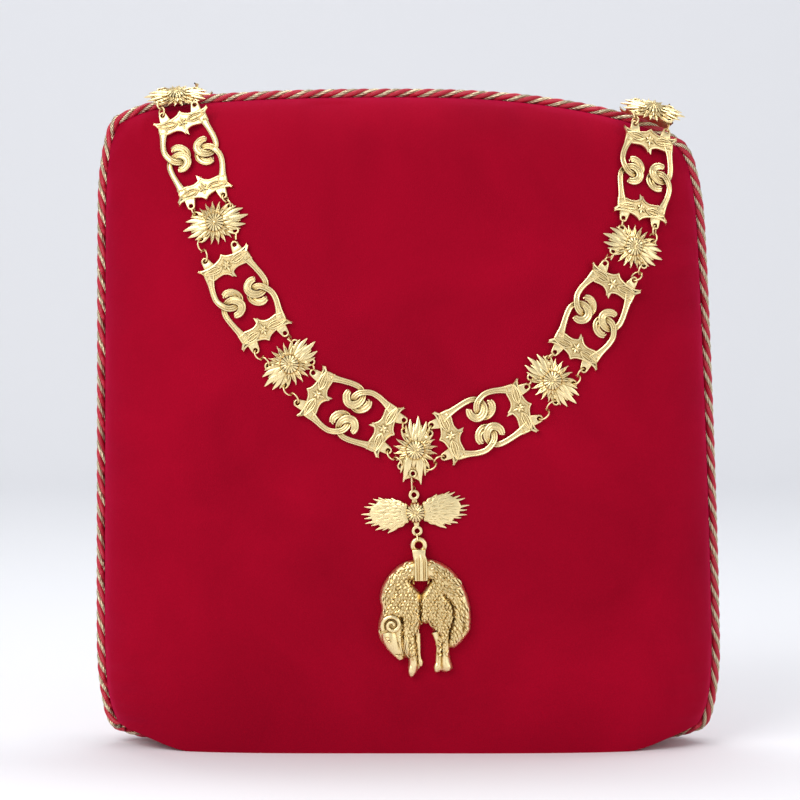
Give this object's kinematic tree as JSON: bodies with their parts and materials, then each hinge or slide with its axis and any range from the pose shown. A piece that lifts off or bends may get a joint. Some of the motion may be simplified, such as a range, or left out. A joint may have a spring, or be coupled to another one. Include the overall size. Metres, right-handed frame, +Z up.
{
  "type": "order collar on display cushion",
  "caption": "Gilt collar of pierced fire-steel and flaming flint links with a hanging ram, laid over an upright velvet cushion with a twisted cord in its seam.",
  "frame": {"origin": "middle of the cushion's flat base", "axes": "+Z up, the front with the pendant faces -Y, +X to the right as seen from the front"},
  "size_m": [0.3185, 0.0998, 0.3371],
  "materials": {
    "gilt": "satin gilt",
    "velvet": "crimson velvet",
    "cord": "twisted red satin and gold thread"
  },
  "bodies": {
    "root": {"cushion": "velvet", "piping": "cord", "steel_3L": "gilt", "steel_2L": "gilt", "steel_1L": "gilt", "steel_1R": "gilt", "steel_2R": "gilt", "steel_3R": "gilt", "flint_3L": "gilt", "flint_2L": "gilt", "flint_1L": "gilt", "flint_0": "gilt", "flint_1R": "gilt", "flint_2R": "gilt", "flint_3R": "gilt", "ring_3L_3L_inner": "gilt", "ring_3L_3L_outer": "gilt", "ring_3L_2L_inner": "gilt", "ring_3L_2L_outer": "gilt", "ring_2L_2L_inner": "gilt", "ring_2L_2L_outer": "gilt", "ring_2L_1L_inner": "gilt", "ring_2L_1L_outer": "gilt", "ring_1L_1L_inner": "gilt", "ring_1L_1L_outer": "gilt", "ring_1L_0_inner": "gilt", "ring_1L_0_outer": "gilt", "ring_1R_0_inner": "gilt", "ring_1R_0_outer": "gilt", "ring_1R_1R_inner": "gilt", "ring_1R_1R_outer": "gilt", "ring_2R_1R_inner": "gilt", "ring_2R_1R_outer": "gilt", "ring_2R_2R_inner": "gilt", "ring_2R_2R_outer": "gilt", "ring_3R_2R_inner": "gilt", "ring_3R_2R_outer": "gilt", "ring_3R_3R_inner": "gilt", "ring_3R_3R_outer": "gilt", "steel_3L_back": "gilt", "steel_2L_back": "gilt", "steel_1L_back": "gilt", "steel_1R_back": "gilt", "steel_2R_back": "gilt", "steel_3R_back": "gilt", "flint_2L_back": "gilt", "flint_1L_back": "gilt", "flint_0_back": "gilt", "flint_1R_back": "gilt", "flint_2R_back": "gilt", "flint_bar": "gilt", "fleece": "gilt", "pendant_ring": "gilt", "fleece_ring": "gilt"}
  },
  "joints": []
}
